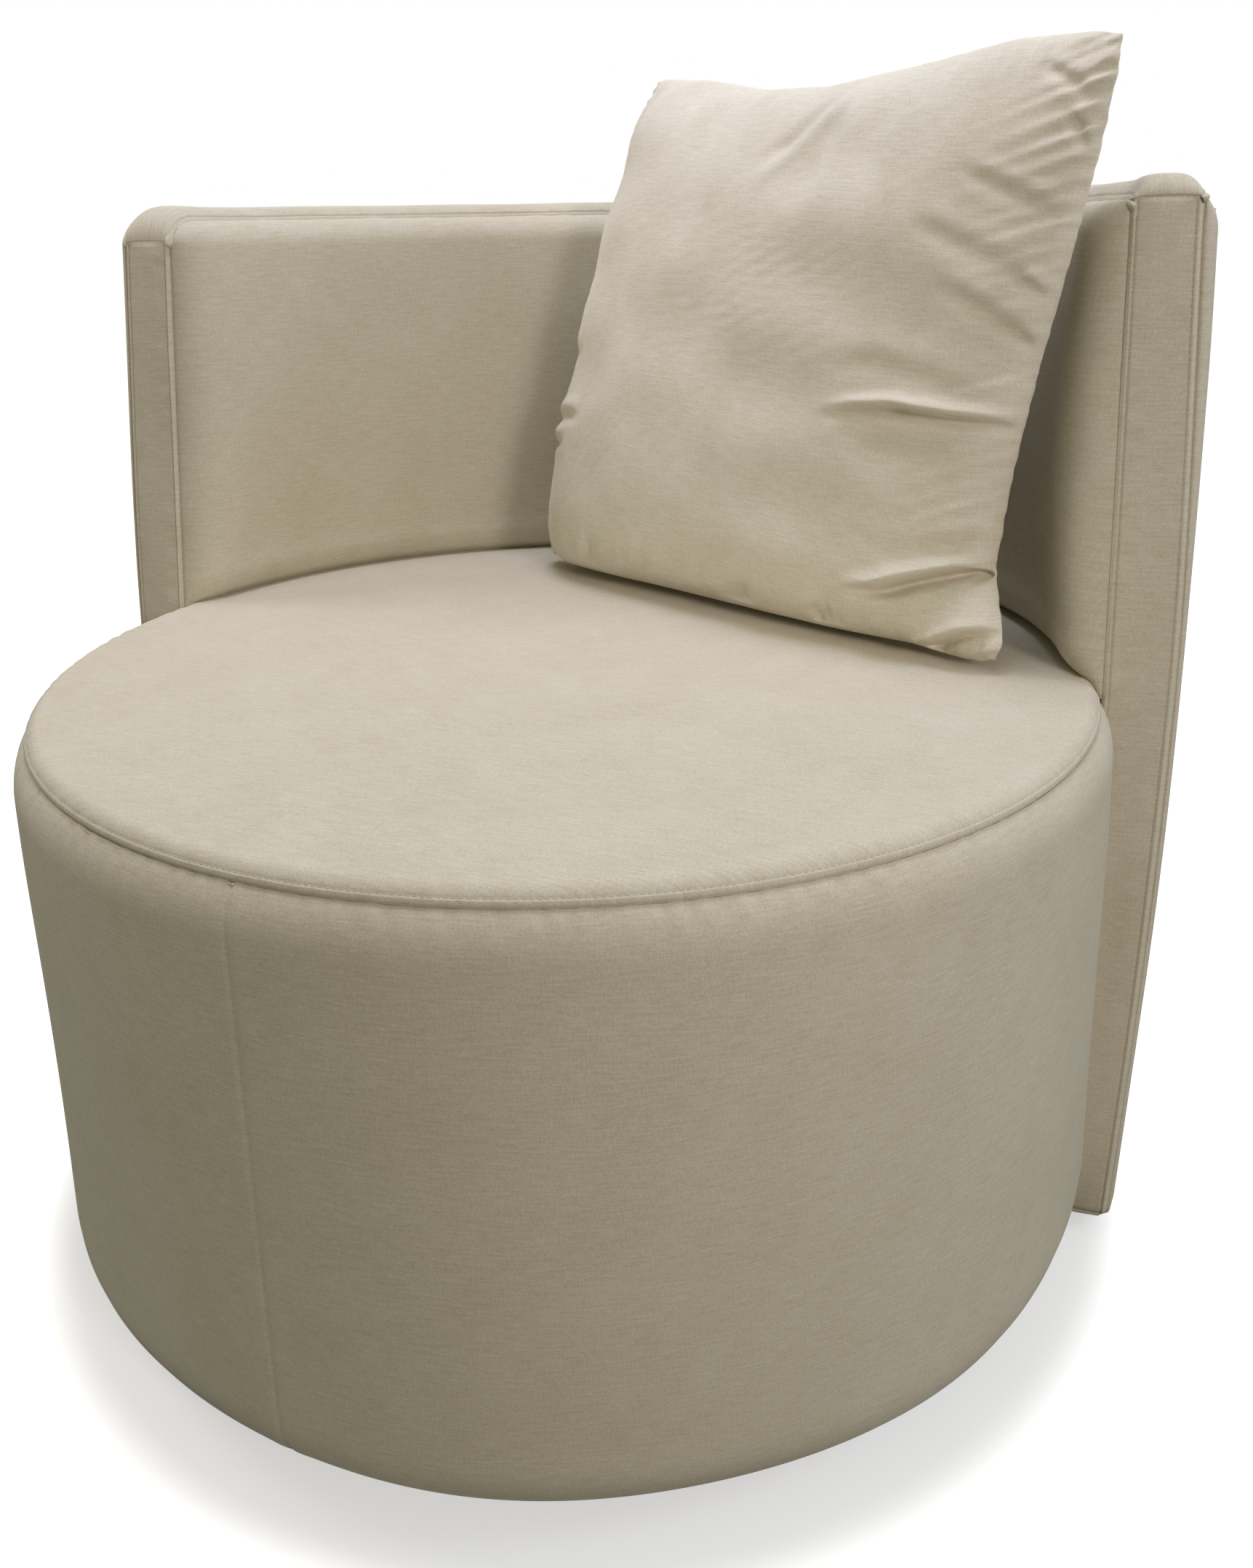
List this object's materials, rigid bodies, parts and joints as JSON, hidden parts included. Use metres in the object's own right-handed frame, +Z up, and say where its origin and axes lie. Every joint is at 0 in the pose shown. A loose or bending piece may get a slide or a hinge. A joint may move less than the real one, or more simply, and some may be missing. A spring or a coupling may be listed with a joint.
{
  "type": "swivel barrel armchair",
  "caption": "Low round swivel armchair: upholstered drum seat inside a half-round padded back, on a hidden ball-bearing swivel base, with a loose square scatter cushion.",
  "frame": {"origin": "on the floor, on the swivel axis, at the underside of the middle floor glide", "axes": "+Z up along the swivel axis, -Y towards the front of the seat, +X towards the sitter's left-hand arm (the viewer's right from the front)"},
  "size_m": [0.899, 0.8698, 0.8708],
  "materials": {
    "chair_fabric": "brushed woven upholstery cloth, cream",
    "cushion_fabric": "brushed woven upholstery cloth, cream",
    "cushion_filling": "feather and fibre filling in a cotton case",
    "black_lining": "thin non-woven lining",
    "spring_felt": "pressed felt",
    "white_wadding": "bonded polyester wadding",
    "foam": "cut polyurethane foam",
    "zinc_steel": "zinc plated",
    "spring_steel": "oiled spring wire",
    "race_steel": "pressed steel",
    "polished_steel": "ground and polished",
    "black_plastic": "moulded nylon",
    "glide_plastic": "moulded polyethylene",
    "skin_board": "bent hardboard",
    "plywood": "sawn birch plywood"
  },
  "bodies": {
    "base": {"base_plinth": "plywood", "floor_glides": "glide_plastic", "swivel_lower_race": "race_steel", "lower_race_screws": "zinc_steel"},
    "ball_cage": {"ball_retainer": "black_plastic", "bearing_balls": "polished_steel"},
    "chair": {"arm_front_cover_left": "chair_fabric", "arm_front_cover_right": "chair_fabric", "arm_front_foam_left": "foam", "arm_front_foam_right": "foam", "back_inner_cover": "chair_fabric", "back_inner_foam": "foam", "back_inner_skin": "skin_board", "back_outer_cover": "chair_fabric", "back_outer_skin": "skin_board", "back_outer_wadding": "white_wadding", "back_rib_1": "plywood", "back_rib_2": "plywood", "back_rib_3": "plywood", "back_rib_4": "plywood", "back_rib_5": "plywood", "back_rib_6": "plywood", "back_rib_7": "plywood", "back_top_rail": "plywood", "bottom_board": "plywood", "drum_side_board": "skin_board", "drum_side_cover": "chair_fabric", "drum_side_foam": "foam", "dust_cover": "black_lining", "post_screws": "zinc_steel", "rib_bolts": "zinc_steel", "rib_foot_screws": "zinc_steel", "seat_cover": "chair_fabric", "seat_foam": "foam", "seat_post_1": "plywood", "seat_post_2": "plywood", "seat_post_3": "plywood", "seat_post_4": "plywood", "seat_post_5": "plywood", "seat_ring": "plywood", "seat_spring_1": "spring_steel", "seat_spring_2": "spring_steel", "seat_spring_3": "spring_steel", "seat_spring_4": "spring_steel", "seat_wadding": "white_wadding", "skirt_screws": "zinc_steel", "skirt_segments": "plywood", "spring_clips": "zinc_steel", "spring_felt": "spring_felt", "swivel_upper_race": "race_steel", "top_band_cover": "chair_fabric", "top_band_foam": "foam", "top_rail_screws": "zinc_steel", "upper_race_screws": "zinc_steel"},
    "cushion": {"cushion_insert": "cushion_filling", "cushion_cover": "cushion_fabric"}
  },
  "joints": [
    {"name": "swivel", "type": "hinge", "parent": "base", "child": "chair", "pos_m": [0, 0, 0.04], "axis": [0, 0, 1], "continuous": true},
    {"name": "cage_roll", "type": "hinge", "parent": "base", "child": "ball_cage", "pos_m": [0, 0, 0.04], "axis": [0, 0, 1], "continuous": true},
    {"name": "cushion_lift", "type": "slide", "parent": "chair", "child": "cushion", "axis": [-0.21, -0.454, 0.8659], "range_m": [0, 0.45]}
  ],
  "couplings": [
    {"joint": "cage_roll", "follows": "swivel", "ratio": 0.5}
  ]
}
